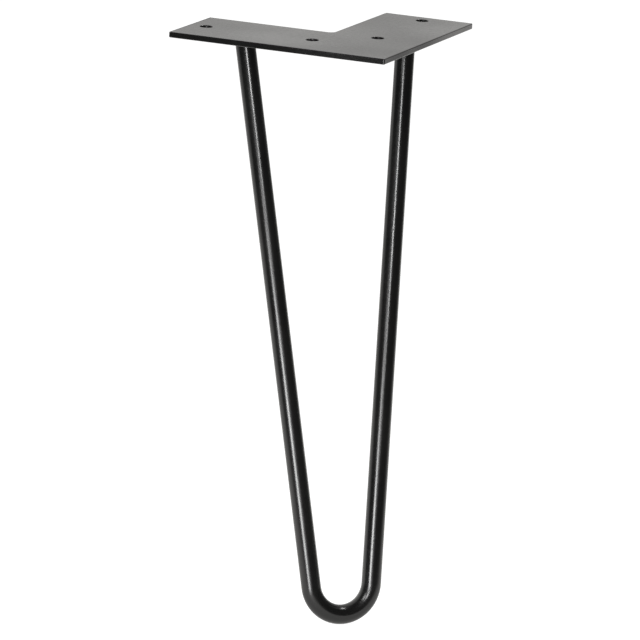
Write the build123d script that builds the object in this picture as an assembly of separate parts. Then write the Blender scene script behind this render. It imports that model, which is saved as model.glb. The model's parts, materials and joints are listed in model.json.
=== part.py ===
# Hairpin table leg: a round steel rod bent to a narrow U, with both ends welded under an L-shaped plate.
# Millimetres, +Z up. The origin is on the plate's top face, where the centre lines of its two arms cross.
# The left arm runs along -X and the rear arm along +Y, so the plate's outer corner points to +X and -Y.
# The hairpin lies in one flat plane, which leans from the two arms towards that outer corner.
from build123d import *
from math import acos, atan2, cos, hypot, radians, sin, sqrt
import os

# Leg
leg_height = 305.0  # top face of the plate to the lowest point of the bend
rod_diameter = 10.0
rod_end_distance = 90.0  # between the two rod ends, centre to centre, on the underside of the plate
bend_inner_radius = 12.0  # inside of the U
splay_angle = 11.5  # lean of the hairpin's plane from upright, in degrees

# Screw plate
arm_length = 120.0  # outer corner to the end of an arm
arm_width = 50.0
plate_thickness = 3.0
outer_corner_radius = 0.8  # sheared corners, just broken
inner_corner_radius = 3.0
rim_radius = 0.5  # softened rims of the top and bottom faces
rim_share = 0.4  # most of the thickness that one rim may take

# Screw holes, two in a row on the centre line of each arm
hole_diameter = 6.5
hole_pitch = 60.0
hole_end_distance = 9.5  # end of the arm to the centre of the outer hole

# Weld beads, a fillet all the way round each rod end
weld_leg = 3.0  # reach along the plate
weld_height = 3.0  # reach down the rod
weld_toe = 0.3  # thickness of the bead where it runs out on the rod
weld_swell = 0.62  # share of the reach left half-way down, so the bead's face is slightly full

# Worked out from the sizes above
rod_radius = rod_diameter / 2
bend_radius = bend_inner_radius + rod_radius  # of the rod's centre line
underside = -plate_thickness
half_arm = arm_width / 2
arm_reach = arm_length - half_arm  # crossing of the centre lines to the end of an arm
rod_offset = rod_end_distance / sqrt(2)  # crossing of the centre lines to each rod end
lean = radians(splay_angle)
half_distance = rod_end_distance / 2
# Underside of the plate to the bend's centre, down the leaning plane
bend_depth = (leg_height - plate_thickness - rod_radius) / cos(lean) - bend_radius
# Angle of each straight to the middle line of the U, at which it runs into the bend without a kink
half_angle = acos(bend_radius / hypot(half_distance, bend_depth)) - atan2(bend_depth, half_distance)

# The hairpin's plane: x runs from the left rod end to the rear one, and y runs up towards the plate
chord = Vector(1, 1, 0).normalized()
up_the_leg = Vector(-sin(lean) / sqrt(2), sin(lean) / sqrt(2), cos(lean))
hairpin_plane = Plane(
    origin=(-rod_offset / 2, rod_offset / 2, underside),
    x_dir=chord,
    z_dir=chord.cross(up_the_leg),
)


def make_mounting_plate():
    notch = (-half_arm, half_arm)
    outline = Polyline(
        (half_arm, -half_arm),
        (half_arm, arm_reach),
        (-half_arm, arm_reach),
        notch,
        (-arm_reach, half_arm),
        (-arm_reach, -half_arm),
        close=True,
    )
    profile = make_face(outline)
    profile = fillet(profile.vertices().sort_by_distance(notch)[1:], outer_corner_radius)
    profile = fillet(profile.vertices().sort_by_distance(notch)[:1], inner_corner_radius)
    plate = extrude(profile, -plate_thickness)
    plate = fillet(plate.faces().filter_by(Axis.Z).edges(), min(rim_radius, rim_share * plate_thickness))
    outer_hole = arm_reach - hole_end_distance
    drill = Cylinder(hole_diameter / 2, 2 * plate_thickness)
    for along in (outer_hole, outer_hole - hole_pitch):
        plate -= Pos(-along, 0, 0) * drill
        plate -= Pos(0, along, 0) * drill
    return plate


def make_hairpin_rod():
    # Both straights start past the plate's underside, and are then cut off flush with it
    spare = rod_diameter
    top_x = half_distance + spare * sin(half_angle)
    top_y = spare * cos(half_angle)
    tangent_x = bend_radius * cos(half_angle)
    tangent_y = -bend_depth - bend_radius * sin(half_angle)
    bend_bottom = (0, -bend_depth - bend_radius)
    path = Line((-top_x, top_y), (-tangent_x, tangent_y))
    path += ThreePointArc((-tangent_x, tangent_y), bend_bottom, (tangent_x, tangent_y))
    path += Line((tangent_x, tangent_y), (top_x, top_y))
    path = hairpin_plane * path
    section = Plane(origin=path @ 0, z_dir=path % 0) * Circle(rod_radius)
    rod = sweep(section, path=path)
    return split(rod, bisect_by=Plane.XY.offset(underside), keep=Keep.BOTTOM)


def make_weld_bead(side, rod):
    # side is -1 for the left rod end and 1 for the rear one
    rod_end = hairpin_plane.from_local_coords(Vector(side * half_distance, 0, 0))
    down_the_rod = hairpin_plane.from_local_coords(
        Vector(side * (half_distance - sin(half_angle)), -cos(half_angle), 0)
    ) - rod_end
    drop = -down_the_rod.Z
    cut_radius = rod_radius / drop  # longer half of the rod's oval section in the plate's underside
    rings = []
    for share, reach in ((0, weld_leg), (0.5, weld_swell * weld_leg), (1, weld_toe)):
        centre = rod_end + down_the_rod * (share * weld_height / drop)
        rings.append(Pos(*centre) * Circle(cut_radius + reach))
    return loft(rings) - rod


mounting_plate = make_mounting_plate()
hairpin_rod = make_hairpin_rod()
left_weld_bead = make_weld_bead(-1, hairpin_rod)
rear_weld_bead = make_weld_bead(1, hairpin_rod)

os.makedirs("parts", exist_ok=True)
export_step(mounting_plate, "parts/mounting_plate.step")
export_step(hairpin_rod, "parts/hairpin_rod.step")
export_step(left_weld_bead, "parts/left_weld_bead.step")
export_step(rear_weld_bead, "parts/rear_weld_bead.step")
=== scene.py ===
# Looks of a hairpin table leg: bent rod, screw plate and welds in black powder coat, in a white studio.
# Metres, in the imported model's frame: +Z is up, and the origin is on the plate's top face, where the middle
# lines of its two arms cross.
import json
from math import acos, atan2, cos, hypot, pi, radians, sin, sqrt

import bpy
from mathutils import Matrix, Vector


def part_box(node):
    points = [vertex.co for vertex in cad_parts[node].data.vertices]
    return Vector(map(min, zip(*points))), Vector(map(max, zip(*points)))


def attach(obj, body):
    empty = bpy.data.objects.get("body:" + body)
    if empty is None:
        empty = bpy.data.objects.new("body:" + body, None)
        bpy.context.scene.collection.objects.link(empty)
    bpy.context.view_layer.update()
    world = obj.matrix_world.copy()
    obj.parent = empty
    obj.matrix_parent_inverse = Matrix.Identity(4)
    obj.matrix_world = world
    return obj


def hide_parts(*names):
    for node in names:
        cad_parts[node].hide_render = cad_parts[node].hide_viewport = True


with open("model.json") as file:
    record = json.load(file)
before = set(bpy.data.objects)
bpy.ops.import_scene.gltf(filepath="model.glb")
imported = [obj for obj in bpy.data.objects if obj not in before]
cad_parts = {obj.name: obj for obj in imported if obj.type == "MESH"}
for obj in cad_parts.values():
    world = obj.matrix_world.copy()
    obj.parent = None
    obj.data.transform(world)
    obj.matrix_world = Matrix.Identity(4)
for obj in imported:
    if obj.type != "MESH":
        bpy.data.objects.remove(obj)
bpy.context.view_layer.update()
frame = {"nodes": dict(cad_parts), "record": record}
scene = bpy.context.scene
scene.view_settings.view_transform = "Standard"
print("frame loaded:", ", ".join(sorted(frame["nodes"])))

up = Vector((0, 0, 1))
millimetre = 0.001


# Node helpers, for geometry and shader trees alike
def feed(tree, socket, value):
    if isinstance(value, bpy.types.NodeSocket):
        tree.links.new(value, socket)
    else:
        socket.default_value = value


def addNode(tree, kind, sockets=None, **options):
    node = tree.nodes.new(kind)
    for option, value in options.items():
        setattr(node, option, value)
    for socket, value in (sockets or {}).items():
        feed(tree, node.inputs[socket], value)
    return node


def calc(tree, operation, *terms):
    return addNode(tree, "ShaderNodeMath", dict(enumerate(terms)), operation=operation).outputs[0]


def calcVector(tree, operation, *terms, output="Vector"):
    node = addNode(tree, "ShaderNodeVectorMath", dict(enumerate(terms)), operation=operation)
    return node.outputs[output]


def dotProduct(tree, first, second):
    return calcVector(tree, "DOT_PRODUCT", first, second, output="Value")


def distance(tree, first, second):
    return calcVector(tree, "DISTANCE", first, second, output="Value")


def scaled(tree, vector, factor):
    node = addNode(tree, "ShaderNodeVectorMath", {0: vector, "Scale": factor}, operation="SCALE")
    return node.outputs["Vector"]


def ramp(tree, value, fromLow, fromHigh, toLow, toHigh):
    sockets = {"Value": value, "From Min": fromLow, "From Max": fromHigh, "To Min": toLow, "To Max": toHigh}
    return addNode(tree, "ShaderNodeMapRange", sockets, interpolation_type="SMOOTHSTEP").outputs[0]


def mixShaders(tree, share, first, second):
    return addNode(tree, "ShaderNodeMixShader", {0: share, 1: first.outputs[0], 2: second.outputs[0]})


# Geometry Nodes helpers
def startTree(name, sizes):
    tree = bpy.data.node_groups.new(name, "GeometryNodeTree")
    tree.interface.new_socket("Sketch", in_out="INPUT", socket_type="NodeSocketGeometry")
    for label, kind in sizes.items():
        tree.interface.new_socket(label, in_out="INPUT", socket_type="NodeSocket" + kind)
    tree.interface.new_socket("Piece", in_out="OUTPUT", socket_type="NodeSocketGeometry")
    return tree, addNode(tree, "NodeGroupInput").outputs


def endTree(tree, geometry, coat):
    smooth = addNode(tree, "GeometryNodeSetShadeSmooth", {"Geometry": geometry})
    whole = addNode(tree, "GeometryNodeRealizeInstances", {"Geometry": smooth.outputs[0]})
    coated = addNode(tree, "GeometryNodeSetMaterial", {"Geometry": whole.outputs[0], "Material": coat})
    addNode(tree, "NodeGroupOutput", {0: coated.outputs[0]})


def remember(tree, geometry, field, kind):  # keeps a field of the geometry for use further on in the tree
    node = addNode(tree, "GeometryNodeCaptureAttribute", domain="POINT")
    node.capture_items.new(kind, "Kept")
    feed(tree, node.inputs[0], geometry)
    feed(tree, node.inputs[1], field)
    return node.outputs[0], node.outputs[1]


def growPiece(name, points, edges, tree, sizes, rims=None):
    sketch = bpy.data.meshes.new(name + "Sketch")
    sketch.from_pydata(points, edges, [])
    piece = bpy.data.objects.new(name, sketch)
    scene.collection.objects.link(piece)
    grower = piece.modifiers.new("grow", "NODES")
    grower.node_group = tree
    for item in tree.interface.items_tree:
        if item.name in sizes:
            grower[item.identifier] = sizes[item.name]
    if rims:
        rounding = piece.modifiers.new("rims", "BEVEL")
        for option, value in rims.items():
            setattr(rounding, option, value)
    grown = piece.evaluated_get(bpy.context.evaluated_depsgraph_get())
    piece.data = bpy.data.meshes.new_from_object(grown)
    piece.data.name = name
    piece.modifiers.clear()
    bpy.data.meshes.remove(sketch)
    print(name, "grown:", len(piece.data.polygons), "faces")
    return piece


def join(piece, node):  # the piece stands for a CAD node, which it hides
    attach(piece, "root")
    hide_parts(node)


# Black powder coat: satin, with a soft orange peel and a fine grain
powderCoat = {
    "colour": (0.0042, 0.0042, 0.0042, 1),
    "paleColour": (0.0068, 0.0067, 0.0065, 1),
    "paleEdge": (0.75, 1.3),  # it turns pale over this range of clouds and grain added up
    "roughness": (0.20, 0.26),
    "glossEdge": (0.3, 0.7),  # and rougher over this range of the mean of clouds and peel
    "ior": 1.57,
    "cloudSize": 0.030,  # slow drift of colour and gloss
    "waveSize": 0.075,  # of plate steel under the coat, which is not quite flat
    "waveShift": Vector((0.19, 0.44, 0.38)),  # slides the waves along the plate
    "plateWaveDepth": 0.0045,
    "peelSize": 0.0018,  # orange peel, crest to crest
    "peelDepth": 0.000006,
    "grainSize": 0.00040,
    "grainDepth": 0.0000004,
}


def makePowderCoat(name, waveDepth=0):
    coat = bpy.data.materials.new(name)
    coat.use_nodes = True
    tree = coat.node_tree
    shader = tree.nodes["Principled BSDF"]
    place = addNode(tree, "ShaderNodeTexCoord").outputs["Object"]

    def noise(vector, size, detail):
        sockets = {"Vector": vector, "Scale": 1 / size, "Detail": detail}
        return addNode(tree, "ShaderNodeTexNoise", sockets).outputs[0]

    def bump(height, depth, under=None):  # lies over the bump under it
        node = addNode(tree, "ShaderNodeBump", {"Distance": depth, "Height": height})
        if under is not None:
            feed(tree, node.inputs["Normal"], under)
        return node.outputs[0]

    clouds = noise(place, powderCoat["cloudSize"], detail=3)
    peel = noise(place, powderCoat["peelSize"], detail=1)
    grain = noise(place, powderCoat["grainSize"], detail=2)
    paleness = ramp(tree, calc(tree, "ADD", clouds, grain), *powderCoat["paleEdge"], 0, 1)
    tint = addNode(tree, "ShaderNodeMix", {"Factor": paleness}, data_type="RGBA")
    tint.inputs[6].default_value = powderCoat["colour"]  # sockets 6 and 7 are the two colours
    tint.inputs[7].default_value = powderCoat["paleColour"]
    feed(tree, shader.inputs["Base Color"], tint.outputs[2])
    unevenness = calc(tree, "MULTIPLY_ADD", peel, 0.5, calc(tree, "MULTIPLY", clouds, 0.5))
    gloss = ramp(tree, unevenness, *powderCoat["glossEdge"], *powderCoat["roughness"])
    feed(tree, shader.inputs["Roughness"], gloss)
    normal = bump(peel, powderCoat["peelDepth"], bump(grain, powderCoat["grainDepth"]))
    if waveDepth:
        shifted = calcVector(tree, "ADD", place, powderCoat["waveShift"])
        normal = bump(noise(shifted, powderCoat["waveSize"], detail=0), waveDepth, normal)
    feed(tree, shader.inputs["Normal"], normal)
    shader.inputs["IOR"].default_value = powderCoat["ior"]
    return coat


plateCoat = makePowderCoat("blackPlateCoat", powderCoat["plateWaveDepth"])
barCoat = makePowderCoat("blackBarCoat")
print("powder coat mixed")

# Screw plate: an L of two equal arms with softened corners and rims, and two screw holes in each arm
plateLow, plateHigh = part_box("mounting_plate")
underside = plateLow.z
plate = {
    "outerRadius": 0.0008,  # of the five sheared corners
    "innerRadius": 0.0030,  # of the one between the arms
    "innerCorner": 3,  # its number along the outline
    "cornerSteps": 16,
    "holeSides": 64,
    "rimRadius": 0.0005,
    "rimSteps": 5,
    "rimAngle": radians(60),  # an edge that bends more than this is a rim
    "mergeDistance": 1e-6,
}


def findScrewHoles():
    holes = []
    for mount in frame["record"]["mounts"]:
        if mount["kind"] == "bolt_pattern":
            sizes = mount["dims"]
            along = Vector((sizes.get("spacing_x_mm", 0), sizes.get("spacing_y_mm", 0), 0)) * millimetre
            holes += [Vector(mount["pos_m"]) - along / 2, Vector(mount["pos_m"]) + along / 2]
            radius = sizes["hole_r_mm"] * millimetre
    return holes, radius


def makePlateTree():
    tree, size = startTree("screwPlate", {
        "Outer Radius": "Float", "Inner Radius": "Float", "Inner Corner": "Int", "Corner Steps": "Int",
        "Hole Radius": "Float", "Hole Sides": "Int", "Thickness": "Float", "Coat": "Material",
    })
    # in the sketch, points with neighbours are the outline and lone points are the holes
    neighbours = addNode(tree, "GeometryNodeInputMeshVertexNeighbors").outputs["Vertex Count"]
    drawn = addNode(tree, "GeometryNodeSeparateGeometry", {
        "Geometry": size["Sketch"], "Selection": neighbours,
    })
    number = addNode(tree, "GeometryNodeInputIndex").outputs[0]
    numbered, corner = remember(tree, drawn.outputs["Selection"], number, "INT")
    outline = addNode(tree, "GeometryNodeMeshToCurve", {"Mesh": numbered})
    isInner = calc(tree, "COMPARE", corner, size["Inner Corner"], 0.5)
    extra = calc(tree, "SUBTRACT", size["Inner Radius"], size["Outer Radius"])
    radius = calc(tree, "MULTIPLY_ADD", isInner, extra, size["Outer Radius"])
    rounded = addNode(tree, "GeometryNodeFilletCurve", {
        "Curve": outline.outputs[0], "Count": size["Corner Steps"], "Radius": radius,
    }, mode="POLY")
    hole = addNode(tree, "GeometryNodeCurvePrimitiveCircle", {
        "Resolution": size["Hole Sides"], "Radius": size["Hole Radius"],
    })
    holes = addNode(tree, "GeometryNodeInstanceOnPoints", {
        "Points": drawn.outputs["Inverted"], "Instance": hole.outputs["Curve"],
    })
    cutHoles = addNode(tree, "GeometryNodeRealizeInstances", {"Geometry": holes.outputs[0]})
    lines = addNode(tree, "GeometryNodeJoinGeometry", {0: rounded.outputs[0]})
    feed(tree, lines.inputs[0], cutHoles.outputs[0])
    blank = addNode(tree, "GeometryNodeFillCurve", {"Curve": lines.outputs[0]}, mode="NGONS")

    # the blank becomes the lower face, and a copy of it is raised by the thickness
    down = addNode(tree, "ShaderNodeCombineXYZ", {"Z": calc(tree, "MULTIPLY", size["Thickness"], -1)})
    lower = addNode(tree, "GeometryNodeTransform", {
        "Geometry": blank.outputs[0], "Translation": down.outputs[0],
    })
    raised = addNode(tree, "GeometryNodeExtrudeMesh", {
        "Mesh": lower.outputs[0], "Offset": up, "Offset Scale": size["Thickness"], "Individual": False,
    })
    turned = addNode(tree, "GeometryNodeFlipFaces", {"Mesh": lower.outputs[0]})
    both = addNode(tree, "GeometryNodeJoinGeometry", {0: raised.outputs["Mesh"]})
    feed(tree, both.inputs[0], turned.outputs[0])
    slab = addNode(tree, "GeometryNodeMergeByDistance", {
        "Geometry": both.outputs[0], "Distance": plate["mergeDistance"],
    })

    # the rims of the plate and of its holes are marked for rounding
    bend = addNode(tree, "GeometryNodeInputMeshEdgeAngle").outputs["Unsigned Angle"]
    isRim = calc(tree, "GREATER_THAN", bend, plate["rimAngle"])
    weighted = addNode(tree, "GeometryNodeStoreNamedAttribute", {
        "Geometry": slab.outputs[0], "Name": "bevel_weight_edge", "Value": isRim,
    }, data_type="FLOAT", domain="EDGE")
    endTree(tree, weighted.outputs[0], size["Coat"])
    return tree


def makeScrewPlate():
    halfArm = plateHigh.x
    reach = -plateLow.x
    corners = [
        (halfArm, -halfArm, 0), (halfArm, reach, 0), (-halfArm, reach, 0),
        (-halfArm, halfArm, 0), (-reach, halfArm, 0), (-reach, -halfArm, 0),
    ]
    edges = [(i, (i + 1) % len(corners)) for i in range(len(corners))]
    holes, holeRadius = findScrewHoles()
    sizes = {
        "Outer Radius": plate["outerRadius"], "Inner Radius": plate["innerRadius"],
        "Inner Corner": plate["innerCorner"], "Corner Steps": plate["cornerSteps"],
        "Hole Radius": holeRadius, "Hole Sides": plate["holeSides"],
        "Thickness": plateHigh.z - underside, "Coat": plateCoat,
    }
    rims = {
        "width": plate["rimRadius"], "segments": plate["rimSteps"], "limit_method": "WEIGHT",
        "use_clamp_overlap": False, "harden_normals": True,
    }
    return growPiece("screwPlate", corners + holes, edges, makePlateTree(), sizes, rims)


screwPlate = makeScrewPlate()
join(screwPlate, "mounting_plate")

# Hairpin rod: two straights that lean together, run into one bend and end flush under the plate
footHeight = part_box("hairpin_rod")[0].z
rod = {
    "radius": 0.00515,  # of a 10 mm bar and its coat
    "endDistance": 0.090,  # between the middles of the two rod ends
    "bendRadius": 0.017,  # of the rod's middle line
    "splay": radians(11.5),  # lean of the hairpin's plane from upright
    "bendSteps": 96,
    "ringSpacing": 0.0015,
    "roundSides": 72,
    "endShare": 0.4999,  # a ring further than this share of the rod from its middle is at an end
}


def layRodPath():
    halfDistance = rod["endDistance"] / 2
    bendDepth = (underside - footHeight - rod["radius"]) / cos(rod["splay"]) - rod["bendRadius"]
    halfAngle = acos(rod["bendRadius"] / hypot(halfDistance, bendDepth)) - atan2(bendDepth, halfDistance)
    across = Vector((1, 1, 0)).normalized()
    outwards = Vector((1, -1, 0)).normalized()
    down = outwards * sin(rod["splay"]) - up * cos(rod["splay"])
    middle = outwards * (-halfDistance) + up * underside
    # the two straights, drawn on, would meet at the crossing
    crossing = middle + down * (bendDepth + rod["bendRadius"] / sin(halfAngle))
    return middle - across * halfDistance, crossing, middle + across * halfDistance


def makeRodTree():
    tree, size = startTree("hairpinRod", {
        "Rod Radius": "Float", "Bend Radius": "Float", "Bend Steps": "Int", "Ring Spacing": "Float",
        "Round Sides": "Int", "Underside": "Float", "Coat": "Material",
    })
    path = addNode(tree, "GeometryNodeMeshToCurve", {"Mesh": size["Sketch"]})
    bent = addNode(tree, "GeometryNodeFilletCurve", {
        "Curve": path.outputs[0], "Count": size["Bend Steps"], "Radius": size["Bend Radius"],
    }, mode="POLY")
    even = addNode(tree, "GeometryNodeResampleCurve", {
        "Curve": bent.outputs[0], "Length": size["Ring Spacing"],
    }, mode="LENGTH")
    alongRod = addNode(tree, "GeometryNodeSplineParameter").outputs["Factor"]
    line, along = remember(tree, even.outputs[0], alongRod, "FLOAT")
    line, tangent = remember(tree, line, addNode(tree, "GeometryNodeInputTangent").outputs[0], "VECTOR")
    section = addNode(tree, "GeometryNodeCurvePrimitiveCircle", {
        "Resolution": size["Round Sides"], "Radius": size["Rod Radius"],
    })
    bar = addNode(tree, "GeometryNodeCurveToMesh", {
        "Curve": line, "Profile Curve": section.outputs["Curve"], "Fill Caps": True,
    })

    # both end rings slide along the rod into the plane of the plate's underside
    offMiddle = calc(tree, "ABSOLUTE", calc(tree, "SUBTRACT", along, 0.5))
    isEnd = calc(tree, "GREATER_THAN", offMiddle, rod["endShare"])
    position = addNode(tree, "GeometryNodeInputPosition").outputs[0]
    height = addNode(tree, "ShaderNodeSeparateXYZ", {0: position}).outputs["Z"]
    climb = addNode(tree, "ShaderNodeSeparateXYZ", {0: tangent}).outputs["Z"]
    slide = calc(tree, "DIVIDE", calc(tree, "SUBTRACT", size["Underside"], height), climb)
    flush = addNode(tree, "GeometryNodeSetPosition", {
        "Geometry": bar.outputs[0], "Selection": isEnd, "Offset": scaled(tree, tangent, slide),
    })
    endTree(tree, flush.outputs[0], size["Coat"])
    return tree


leftEnd, crossing, rearEnd = layRodPath()
hairpinRod = growPiece("hairpinRod", [leftEnd, crossing, rearEnd], [(0, 1), (1, 2)], makeRodTree(), {
    "Rod Radius": rod["radius"], "Bend Radius": rod["bendRadius"], "Bend Steps": rod["bendSteps"],
    "Ring Spacing": rod["ringSpacing"], "Round Sides": rod["roundSides"], "Underside": underside,
    "Coat": barCoat,
})
join(hairpinRod, "hairpin_rod")

# Welds: a rippled fillet bead round each rod end
weld = {
    "reach": 0.003,  # along the plate
    "drop": 0.003,  # down the rod
    "fullness": 0.12,  # how far the bead's face swells, as a share of its width
    "faceSteps": 10,
    "around": 240,
    "ripples": 26,
    "rippleDepth": 0.00028,
    "rippleBow": 2.2,  # how much each ripple curves across the bead, in radians of a ripple
    "rippleGrowth": 4,  # how soon a ripple reaches its depth, away from the bead's edges
    "waver": 0.16,  # unevenness of the bead's edges, as a share of its reach
    "waverSize": 0.9,
    "leftSeed": 3.0,
    "rearSeed": 8.0,
}


def drawBeadProfile():  # x runs out from the rod and y is upwards, from the corner of rod and plate
    points = [Vector((0, 0, 0))]
    for step in range(weld["faceSteps"] + 1):
        share = step / weld["faceSteps"]
        swell = 4 * share * (1 - share) * weld["fullness"]  # fullest half-way
        points.append(Vector((weld["reach"] * (1 - share + swell), -weld["drop"] * (share + swell), 0)))
    return points, [(i, (i + 1) % len(points)) for i in range(len(points))]


def makeBeadTree():
    tree, size = startTree("weldBead", {
        "Rod End": "Vector", "Slope": "Vector", "Rod Radius": "Float", "Reach": "Float", "Drop": "Float",
        "Around": "Int", "Ripples": "Int", "Ripple Depth": "Float", "Ripple Bow": "Float",
        "Waver": "Float", "Waver Size": "Float", "Seed": "Float", "Coat": "Material",
    })
    position = addNode(tree, "GeometryNodeInputPosition").outputs[0]
    drawn = addNode(tree, "GeometryNodeMeshToCurve", {"Mesh": size["Sketch"]})
    profile, section = remember(tree, drawn.outputs[0], position, "VECTOR")
    circle = addNode(tree, "GeometryNodeCurvePrimitiveCircle", {"Resolution": size["Around"], "Radius": 1})
    ring, outwards = remember(tree, circle.outputs["Curve"], position, "VECTOR")
    bead = addNode(tree, "GeometryNodeCurveToMesh", {"Curve": ring, "Profile Curve": profile})
    sectionParts = addNode(tree, "ShaderNodeSeparateXYZ", {0: section})
    outwardParts = addNode(tree, "ShaderNodeSeparateXYZ", {0: outwards})
    reach = sectionParts.outputs["X"]
    drop = calc(tree, "MULTIPLY", sectionParts.outputs["Y"], -1)
    reachShare = calc(tree, "DIVIDE", reach, size["Reach"])
    dropShare = calc(tree, "DIVIDE", drop, size["Drop"])

    # ripples swell the bead's face and fade out at its two edges
    angle = calc(tree, "ARCTAN2", outwardParts.outputs["Y"], outwardParts.outputs["X"])
    offMiddle = calc(tree, "SUBTRACT", dropShare, 0.5)
    bow = calc(tree, "MULTIPLY", size["Ripple Bow"], calc(tree, "MULTIPLY", offMiddle, offMiddle))
    phase = calc(tree, "MULTIPLY_ADD", calc(tree, "MULTIPLY", angle, size["Ripples"]), 0.5, bow)
    ripple = calc(tree, "ABSOLUTE", calc(tree, "SINE", phase))
    offEdges = calc(tree, "MULTIPLY", reachShare, dropShare)
    onFace = calc(tree, "MINIMUM", calc(tree, "MULTIPLY", offEdges, weld["rippleGrowth"]), 1)
    swell = calc(tree, "MULTIPLY", calc(tree, "MULTIPLY", ripple, onFace), size["Ripple Depth"])
    slanted = calc(tree, "MULTIPLY", swell, sqrt(0.5))  # its part outwards, and as much downwards

    # the bead's edges wander a little on the plate and on the rod
    drift = addNode(tree, "ShaderNodeTexNoise", {
        "Vector": outwards, "W": size["Seed"], "Detail": 2,
        "Scale": calc(tree, "DIVIDE", 1, size["Waver Size"]),
    }, noise_dimensions="4D").outputs["Color"]
    driftParts = addNode(tree, "ShaderNodeSeparateXYZ", {0: drift})

    def wander(length, share):
        stretch = calc(tree, "MULTIPLY_ADD", calc(tree, "SUBTRACT", share, 0.5), size["Waver"], 1)
        return calc(tree, "MULTIPLY_ADD", length, stretch, slanted)

    reach = wander(reach, driftParts.outputs["X"])
    drop = wander(drop, driftParts.outputs["Y"])

    # the rod leans, so its section in the plate's underside is an oval, which shifts with the drop
    lean = calcVector(tree, "NORMALIZE", size["Slope"])
    run = calcVector(tree, "LENGTH", size["Slope"], output="Value")
    stretch = calc(tree, "SQRT", calc(tree, "MULTIPLY_ADD", run, run, 1))
    alongLean = dotProduct(tree, outwards, lean)
    lengthening = calc(tree, "MULTIPLY", calc(tree, "SUBTRACT", stretch, 1), alongLean)
    oval = calcVector(tree, "ADD", outwards, scaled(tree, lean, lengthening))
    oval = scaled(tree, oval, size["Rod Radius"])
    spot = calcVector(tree, "ADD", oval, scaled(tree, outwards, reach))
    spot = calcVector(tree, "ADD", size["Rod End"], spot)
    downRod = calcVector(tree, "SUBTRACT", size["Slope"], up)
    laid = addNode(tree, "GeometryNodeSetPosition", {
        "Geometry": bead.outputs[0], "Position": calcVector(tree, "ADD", spot, scaled(tree, downRod, drop)),
    })
    endTree(tree, laid.outputs[0], size["Coat"])
    return tree


beadTree = makeBeadTree()
beadPoints, beadEdges = drawBeadProfile()
for name, node, rodEnd, seed in (
    ("leftWeldBead", "left_weld_bead", leftEnd, weld["leftSeed"]),
    ("rearWeldBead", "rear_weld_bead", rearEnd, weld["rearSeed"]),
):
    downRod = crossing - rodEnd
    slope = Vector((downRod.x, downRod.y, 0)) / -downRod.z  # the rod's way sideways for each metre down
    bead = growPiece(name, beadPoints, beadEdges, beadTree, {
        "Rod End": rodEnd, "Slope": slope, "Rod Radius": rod["radius"],
        "Reach": weld["reach"], "Drop": weld["drop"], "Around": weld["around"], "Ripples": weld["ripples"],
        "Ripple Depth": weld["rippleDepth"], "Ripple Bow": weld["rippleBow"], "Waver": weld["waver"],
        "Waver Size": weld["waverSize"], "Seed": seed, "Coat": barCoat,
    })
    join(bead, node)

# Studio: white behind, to the left and underfoot, and dim in front and to the right, as the reflections
# in the coat show
studio = {
    "back": Vector((-0.39, 0.92, 0)),  # behind the leg as the camera sees it
    "left": Vector((-1, 0, 0)),
    "tint": (1, 0.99, 0.97, 1),  # of the white that the coat reflects
    "dimLevel": 0.05,
    "brightLevel": 0.97,
    "backEdge": (-0.15, 0.30),  # dim turns to bright over this share of a direction that points back
    "leftEdge": (-1.25, 1.0),  # and grows more slowly from the right to the left
    "leftGlow": Vector((-0.823, 0.514, 0.242)),  # towards a soft glow on the left
    "leftGlowEdge": (0.866, 0.985),
    "leftGlowLevel": 0.4,
    "floorSize": 8.0,
    "floorGlow": 0.93,  # what the camera sees of the floor in the leg's deepest shadow
    "floorColour": (0.35, 0.35, 0.35, 1),
    "footMiddle": Vector((0, 0, 0)),
    "footPaintedShadow": 0.65,  # painted shadow of the leg on the table that reflections see: the share of the table's light left under the foot
    "footReach": 0.10,
    "tableMiddle": Vector((0.25, 0.65, 0)),  # middle of a painted pool of light on the white table, as the coat reflects it
    "tableReach": (0.50, 2.5),  # the painted light darkens between these distances from there
    # levels of the painted pool of light, at its middle and far from it
    "tablePaintedLight": (1.15, 0.45),
    "right": Vector((0.92, -0.39, 0)),
    "rightEdge": (0.0, 0.38),  # painted shade: the table darkens over this stretch on the right
    "rightPaintedShade": 0.15,
    "tableSide": Vector((-0.40, 0.917, 0)),
    "tableEnd": (-0.30, -0.04),  # and it fades out in front of the leg
}


def makeWorld():
    world = bpy.data.worlds.new("studio")
    scene.world = world
    world.use_nodes = True
    tree = world.node_tree
    tree.nodes.clear()
    direction = addNode(tree, "ShaderNodeTexCoord").outputs["Generated"]
    backShare = ramp(tree, dotProduct(tree, direction, studio["back"]), *studio["backEdge"], 0, 1)
    leftShare = ramp(tree, dotProduct(tree, direction, studio["left"]), *studio["leftEdge"], 0, 1)
    brightness = studio["brightLevel"] - studio["dimLevel"]
    white = calc(tree, "MULTIPLY", backShare, leftShare)
    level = calc(tree, "MULTIPLY_ADD", white, brightness, studio["dimLevel"])
    glow = ramp(tree, dotProduct(tree, direction, studio["leftGlow"]), *studio["leftGlowEdge"], 0, 1)
    level = calc(tree, "MULTIPLY_ADD", glow, studio["leftGlowLevel"], level)
    surroundings = addNode(tree, "ShaderNodeBackground", {"Color": studio["tint"], "Strength": level})
    backdrop = addNode(tree, "ShaderNodeBackground", {"Color": (1, 1, 1, 1), "Strength": 1})
    isCamera = addNode(tree, "ShaderNodeLightPath").outputs["Is Camera Ray"]
    seen = mixShaders(tree, isCamera, surroundings, backdrop)
    addNode(tree, "ShaderNodeOutputWorld", {0: seen.outputs[0]})


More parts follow.
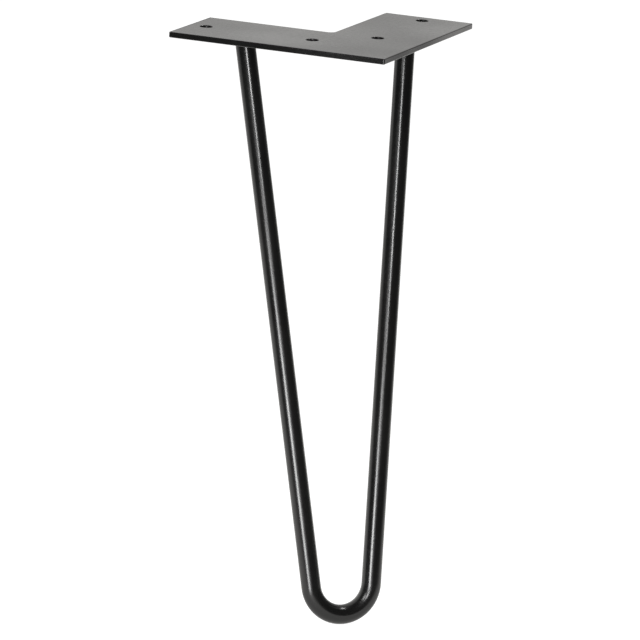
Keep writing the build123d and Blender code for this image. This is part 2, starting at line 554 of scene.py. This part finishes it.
def makeFloorPaint():
    paint = bpy.data.materials.new("studioFloor")
    paint.use_nodes = True
    tree = paint.node_tree
    tree.nodes.clear()
    ray = addNode(tree, "ShaderNodeLightPath").outputs
    surface = addNode(tree, "ShaderNodeNewGeometry").outputs

    # the camera sees white that keeps the leg's shadow, and reflections see a white table with a painted pool
    # of light, a painted shadow under the foot and painted shade on the right
    glow = addNode(tree, "ShaderNodeEmission", {"Strength": studio["floorGlow"]})
    matt = addNode(tree, "ShaderNodeBsdfDiffuse", {"Color": studio["floorColour"]})
    lit = addNode(tree, "ShaderNodeAddShader", {0: glow.outputs[0], 1: matt.outputs[0]})
    flat = calcVector(tree, "MULTIPLY", surface["Position"], Vector((1, 1, 0)))
    fromMiddle = distance(tree, flat, studio["tableMiddle"])
    level = ramp(tree, fromMiddle, *studio["tableReach"], *studio["tablePaintedLight"])
    # painted shadow of the leg under the foot, and painted shade towards the right
    fromFoot = distance(tree, flat, studio["footMiddle"])
    paintedShadowShare = ramp(tree, fromFoot, 0, studio["footReach"], studio["footPaintedShadow"], 1)
    level = calc(tree, "MULTIPLY", level, paintedShadowShare)
    rightwards = dotProduct(tree, flat, studio["right"])
    rightShare = ramp(tree, rightwards, *studio["rightEdge"], 1, studio["rightPaintedShade"])
    level = calc(tree, "MULTIPLY", level, rightShare)
    table = addNode(tree, "ShaderNodeEmission", {"Color": studio["tint"], "Strength": level})
    seen = mixShaders(tree, ray["Is Camera Ray"], table, lit)

    # shadow rays and views from below pass through it, and reflections do beyond the table's end
    towards = dotProduct(tree, surface["Position"], studio["tableSide"])
    pastEnd = ramp(tree, towards, *studio["tableEnd"], 1, 0)
    through = calc(tree, "MAXIMUM", surface["Backfacing"], ray["Is Shadow Ray"])
    through = calc(tree, "MAXIMUM", through, calc(tree, "MULTIPLY", pastEnd, ray["Is Glossy Ray"]))
    clear = addNode(tree, "ShaderNodeBsdfTransparent")
    floor = mixShaders(tree, through, seen, clear)
    addNode(tree, "ShaderNodeOutputMaterial", {0: floor.outputs[0]})
    return paint


def makeFloor():
    half = studio["floorSize"] / 2
    mesh = bpy.data.meshes.new("studioFloor")
    sides = ((-half, -half), (half, -half), (half, half), (-half, half))
    corners = [(x, y, footHeight) for x, y in sides]
    mesh.from_pydata(corners, [], [(0, 1, 2, 3)])
    mesh.materials.append(makeFloorPaint())
    floor = bpy.data.objects.new("studioFloor", mesh)
    scene.collection.objects.link(floor)


makeWorld()
makeFloor()

# Lamps: two soft strips in front draw the bright line down each rod, with a faint glow beside it, and two
# boxes above light the plate's rims and the bend. The azimuth is in degrees from the front (-Y) towards +X,
# and faces is the height on the upright axis that a lamp points at. The level is its brightness, where
# white is 1, and brightest is the share of its height where it has that level. It fades to both ends.
lamps = {
    "upperStrip": {
        "azimuth": 22.5, "distance": 0.72, "height": 0.125, "faces": 0.125,
        "size": (0.093, 0.31), "level": 35, "brightest": 0.26,
    },
    "lowerStrip": {
        "azimuth": 6.8, "distance": 0.50, "height": -0.245, "faces": -0.245,
        "size": (0.147, 0.47), "level": 18.5, "brightest": 0.553,
    },
    "sideGlow": {
        "azimuth": 24.0, "distance": 0.55, "height": -0.25, "faces": -0.25,
        "size": (0.12, 0.60), "level": 1.6, "brightest": 0.5,
    },
    "frontBox": {
        "azimuth": -2.0, "distance": 0.85, "height": 0.48, "faces": 0.48,
        "size": (0.36, 0.50), "level": 11, "brightest": 0.5,
    },
    "topBox": {
        "azimuth": 142.0, "distance": 0.80, "height": 1.305, "faces": -0.305,
        "size": (0.60, 0.20), "level": 29, "brightest": 0.5,
    },
}


def hangLamp(name, lamp):
    data = bpy.data.lights.new(name, "AREA")
    data.shape = "RECTANGLE"
    data.size, data.size_y = lamp["size"]
    data.energy = lamp["level"] * pi * data.size * data.size_y
    data.use_nodes = True
    tree = data.node_tree
    onLamp = addNode(tree, "ShaderNodeNewGeometry").outputs["Parametric"]
    upwards = addNode(tree, "ShaderNodeSeparateXYZ", {0: onLamp}).outputs["Y"]
    above = calc(tree, "DIVIDE", calc(tree, "SUBTRACT", upwards, lamp["brightest"]), 1 - lamp["brightest"])
    below = calc(tree, "SUBTRACT", 1, calc(tree, "DIVIDE", upwards, lamp["brightest"]))
    fade = ramp(tree, calc(tree, "MAXIMUM", above, below), 0, 1, 1, 0)
    feed(tree, tree.nodes["Emission"].inputs["Strength"], fade)
    turn = radians(lamp["azimuth"])
    place = Vector((sin(turn), -cos(turn), 0)) * lamp["distance"] + up * lamp["height"]
    aim = place - up * lamp["faces"]
    hung = bpy.data.objects.new(name, data)
    hung.matrix_world = Matrix.Translation(place) @ aim.to_track_quat("Z", "Y").to_matrix().to_4x4()
    scene.collection.objects.link(hung)


for name, lamp in lamps.items():
    hangLamp(name, lamp)
print("studio lit")

# Camera: a long lens from the front right and a little above, tipped slightly
camera = {
    "place": Vector((0.7731, -1.8469, 0.3810)),
    "turn": radians(23.086),
    "tilt": radians(14.719),
    "roll": radians(2.659),
    "lens": 225,
    "sensor": 36,
}


def setCamera():
    data = bpy.data.cameras.new("photoCamera")
    data.lens = camera["lens"]
    data.sensor_width = camera["sensor"]
    eye = bpy.data.objects.new("photoCamera", data)
    turn = Matrix.Rotation(camera["turn"], 4, "Z")
    tilt = Matrix.Rotation(pi / 2 - camera["tilt"], 4, "X")
    roll = Matrix.Rotation(camera["roll"], 4, "Z")
    eye.matrix_world = Matrix.Translation(camera["place"]) @ turn @ tilt @ roll
    scene.collection.objects.link(eye)
    scene.camera = eye


setCamera()
print("camera set")
